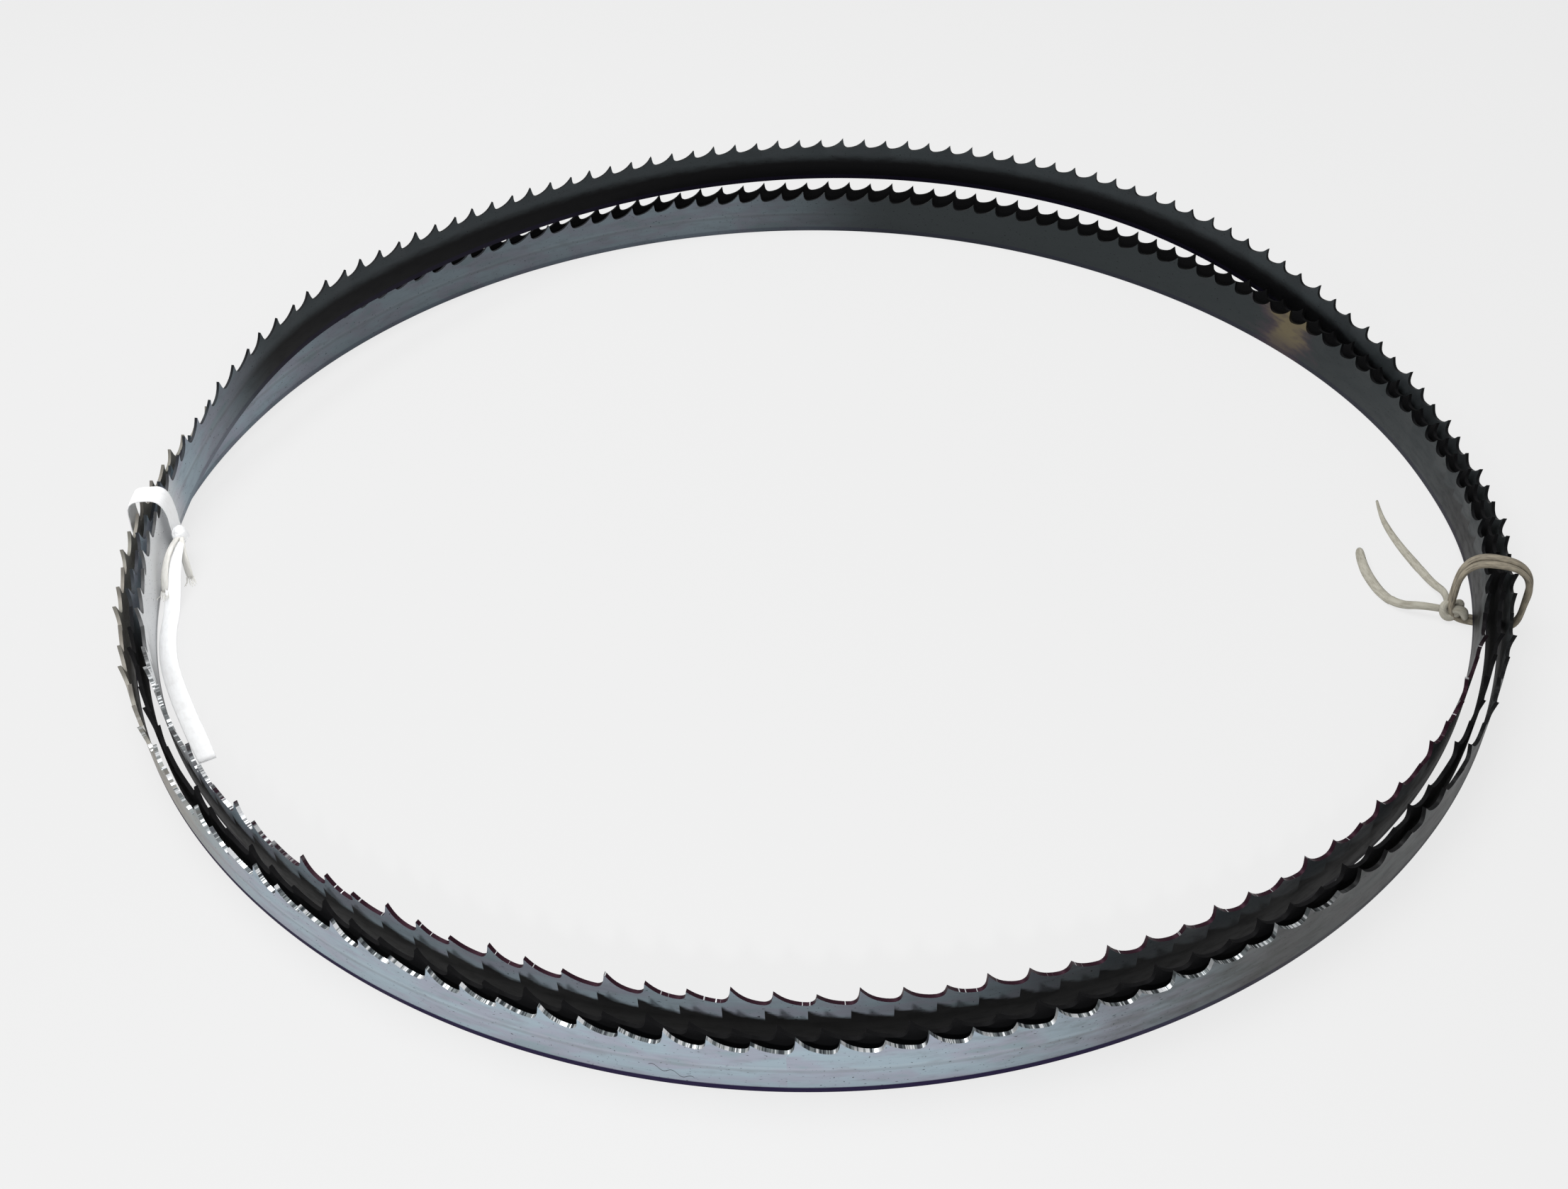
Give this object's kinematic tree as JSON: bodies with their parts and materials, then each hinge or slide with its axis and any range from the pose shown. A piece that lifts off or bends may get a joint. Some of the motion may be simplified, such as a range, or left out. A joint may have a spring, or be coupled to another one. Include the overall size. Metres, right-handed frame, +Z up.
{
  "type": "band saw blade",
  "caption": "Endless toothed steel band for a band saw, folded into a flat coil that stands on its back edge, tied with string on one side and tape on the other.",
  "frame": {"origin": "on the surface that the coil stands on, at the middle of the coil", "axes": "+Z up, from the back edge to the teeth; +X to the string tie's side; -Y to the viewer"},
  "size_m": [0.3848, 0.4029, 0.0325],
  "materials": {
    "blade_steel": "satin",
    "string": "matte",
    "tape": "matte"
  },
  "bodies": {
    "root": {"blade": "blade_steel", "string_tie": "string", "string_tail_long": "string", "string_tail_short": "string", "tape_tie": "tape", "tape_tail": "tape"}
  },
  "joints": []
}
